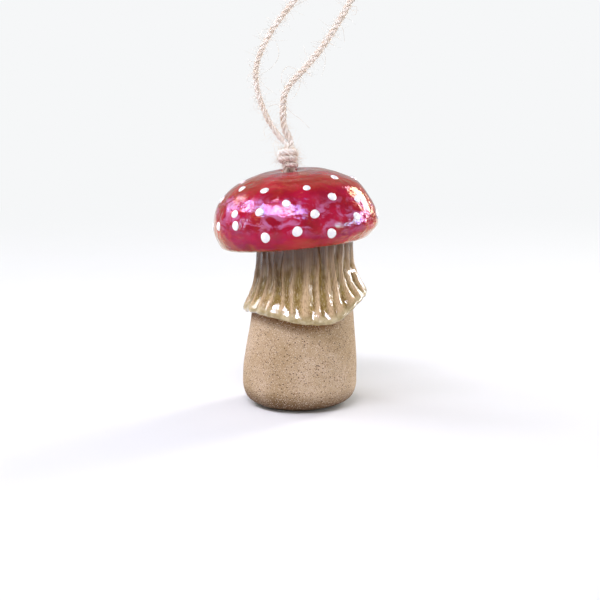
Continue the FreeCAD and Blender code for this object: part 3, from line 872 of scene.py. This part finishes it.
def make_skirt():
    """One closed skin: down the outside, round the hem and up the inside.

    Its rows hold a height, a radius, and how strongly the flutes and the hem's lift show.
    """
    collar, hem, lip, tall, low, wall = 16.0, hem_radius, skirt_lip, 25.4, skirt_low, 2.3
    flute_depth, lobe_depth = 1.35, 0.12
    outer = [
        (0.985, -0.10, 0.20, 0.00), (0.900, 0.00, 0.55, 0.00), (0.700, 0.02, 0.70, 0.05),
        (0.520, 0.09, 0.85, 0.20), (0.370, 0.23, 1.00, 0.45), (0.240, 0.43, 1.00, 0.70),
        (0.140, 0.66, 0.85, 0.88), (0.060, 0.88, 0.50, 0.97), (0.000, 1.00, 0.15, 1.00),
    ]
    rows = [
        (low + tall * h, collar + (hem - collar) * r, flutes, droop) for h, r, flutes, droop in outer
    ]
    rows += [
        (low - 0.75 * lip, hem - 0.35 * lip, 0.10, 1.0), (low - lip, hem - 1.1 * lip, 0.05, 1.0),
        (low - 0.55 * lip, hem - 1.9 * lip, 0.0, 1.0),
        (low + 0.13 * tall, hem - wall - 0.5 * lip, 0.0, 0.9),
        (low + 0.28 * tall, collar + 0.36 * (hem - collar) - wall, 0.0, 0.6),
        (low + 0.40 * tall, 13.8, 0.0, 0.4), (low + 0.48 * tall, 13.1, 0.0, 0.25),
        (low + tall, 13.1, 0.0, 0.0),
    ]
    rows = smooth_rows(rows, np.linspace(0, 1, 120))
    columns = 448
    azimuth = np.linspace(-180, 180, columns, endpoint=False)
    places, depths = np.array(groove_shares, float).T
    gap_up = (np.roll(places, -1) - places) % 360 / 2
    gap_down = (places - np.roll(places, 1)) % 360 / 2

    def groove_at(height):
        """The flutes' depth all round at a height: their lines waver a little on the way down."""
        slow_waver = 1.3 * np.sin(height / 4.2 + np.radians(azimuth) * 5)
        quick_waver = 0.8 * np.sin(height / 2.3 + np.radians(azimuth) * 9)
        turned = azimuth + slow_waver + quick_waver
        off = (turned[:, None] - places[None, :] + 180) % 360 - 180
        nearest = np.abs(off).argmin(1)
        own = off[np.arange(columns), nearest]
        share = np.clip(np.abs(own) / np.where(own > 0, gap_up[nearest], gap_down[nearest]), 0, 1)
        broad = np.array(channel_shares)[nearest]
        return depths[nearest] * (broad * (1 - share**2.6) + (1 - broad) * (1 - share) ** 1.7)

    hang = hem_lift(azimuth)
    grid, depth, cream = [], [], []
    for height, radius, flutes, droop in rows:
        flutes = max(flutes, 0)
        groove = groove_at(height)
        lobe = lobe_depth * (0.4 - groove) * max(0, droop - 0.8) / 0.2
        reach = radius + lobe - flute_depth * flutes * groove
        x, y = reach * np.cos(np.radians(azimuth)), reach * np.sin(np.radians(azimuth))
        grid.append(np.stack([3.0 + x, y, height + (hang - lobe) * droop], -1))
        depth.append(groove * min(1, flutes * 1.6))
        # Past 1 under the lip, for painted shade on the hem's underside
        under = 0.8 * max(0, low - 0.5 * lip - height) / lip
        cream.append(np.full_like(azimuth, min(1, max(0, (droop - 0.9) / 0.1)) + under))
    mesh = grid_mesh("fluted_skirt", [np.stack(grid)], closed_rows=True, values=[np.stack(depth)])
    attribute = mesh.attributes.new("hem", "FLOAT", "POINT")
    attribute.data.foreach_set("value", np.stack(cream).reshape(-1).astype(np.float32))
    return outward(mesh)


skirt = link("fluted_skirt", make_skirt(), make_skirt_glaze(), "ornament")
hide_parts("skirt")


# Studio: pale floor, soft boxes and a pale surround

def make_floor():
    """A pale floor that keeps the shadow near the object and turns plain white further off."""
    half, shade_from, white_from = 3.0, 60.0, 420.0
    corners = [(-half, -half, 0), (half, -half, 0), (half, half, 0), (-half, half, 0)]
    mesh = bpy.data.meshes.new("floor")
    mesh.from_pydata(corners, [], [(0, 1, 2, 3)])
    shade = Shader("pale_floor", Roughness=0.75)
    color = shade.mix(shade.noise(0.02, 2), rgb(224, 224, 222), rgb(230, 230, 228))
    material = shade.done(Base_Color=color)
    glow = shade.node("ShaderNodeEmission")
    glow.inputs["Color"].default_value = rgb(246, 247, 248)
    far = shade.node("ShaderNodeVectorMath", operation="LENGTH")
    shade.feed(far.inputs[0], shade.place)
    rays = shade.node("ShaderNodeLightPath")
    share = shade.ramp(far.outputs["Value"], shade_from, white_from)
    share = shade.times(share, rays.outputs["Is Camera Ray"])
    blend = shade.node("ShaderNodeMixShader")
    shade.feed(blend.inputs[0], share)
    shade.feed(blend.inputs[1], shade.surface.outputs[0])
    shade.feed(blend.inputs[2], glow.outputs[0])
    shade.feed(shade.tree.nodes["Material Output"].inputs["Surface"], blend.outputs[0])
    link("floor", mesh, material)


def soft_box(name, azimuth, elevation, width, height, level, color, matt=True):
    """A lamp that faces the cap from a direction seen from above, in degrees.

    Sizes are in metres. With matt=False it shows in reflections only.
    """
    distance, cap_middle = 0.8, Vector((0, 0, 0.066))
    lamp = bpy.data.lights.new(name, "AREA")
    lamp.shape = "RECTANGLE"
    lamp.size, lamp.size_y = width, height
    lamp.energy = level * math.pi * width * height
    lamp.color = color
    holder = bpy.data.objects.new(name, lamp)
    scene.collection.objects.link(holder)
    holder.visible_diffuse = matt
    a, e = math.radians(azimuth), math.radians(elevation)
    way = Vector((math.cos(a) * math.cos(e), math.sin(a) * math.cos(e), math.sin(e)))
    holder.location = cap_middle + way * distance
    holder.rotation_euler = (-way).to_track_quat("-Z", "Y").to_euler()


def make_surround():
    """A surround that is plain white behind the object, dim as a light and dimmer in reflections."""
    light_level, seen_level, gloss_share = 0.38, 0.95, 0.25
    world = bpy.data.worlds.new("surround")
    scene.world = world
    world.use_nodes = True
    tree = world.node_tree
    rays = tree.nodes.new("ShaderNodeLightPath")
    gloss = tree.nodes.new("ShaderNodeMath")
    gloss.operation = "MULTIPLY"
    gloss.inputs[1].default_value = gloss_share
    tree.links.new(rays.outputs["Is Glossy Ray"], gloss.inputs[0])
    seen = tree.nodes.new("ShaderNodeMath")
    seen.operation = "MAXIMUM"
    tree.links.new(rays.outputs["Is Camera Ray"], seen.inputs[0])
    tree.links.new(gloss.outputs[0], seen.inputs[1])
    level = tree.nodes.new("ShaderNodeMapRange")
    tree.links.new(seen.outputs[0], level.inputs["Value"])
    level.inputs["To Min"].default_value = light_level
    level.inputs["To Max"].default_value = seen_level
    back = tree.nodes["Background"]
    tree.links.new(level.outputs[0], back.inputs["Strength"])
    back.inputs["Color"].default_value = (0.96, 0.98, 1.0, 1.0)


make_floor()
soft_box("key", -114, 56, 0.54, 0.16, 16.5, (0.88, 0.87, 1.0))
soft_box("bright_sky", -119, 56, 0.92, 0.15, 38, (0.80, 0.77, 1.0), matt=False)
soft_box("bright_west", 172, 40, 0.16, 0.12, 34, (0.86, 0.90, 1.0), matt=False)
soft_box("bright_ground", 8, 9, 0.62, 0.06, 42, (1.0, 0.97, 0.98), matt=False)
soft_box("left_sky", 178, 43, 0.24, 0.20, 9.5, (0.90, 0.87, 1.0))
soft_box("left_window", 150, 27, 0.28, 0.25, 9.5, (0.90, 0.91, 1.0))
soft_box("left_strip", -168, 9, 0.05, 0.26, 18, (0.94, 0.95, 1.0))
soft_box("right_window", 44, 21, 0.24, 0.46, 12.5, (1.0, 0.98, 0.96))
soft_box("front_strip", -27, 11, 0.05, 0.30, 20, (1.0, 0.98, 0.97))
make_surround()
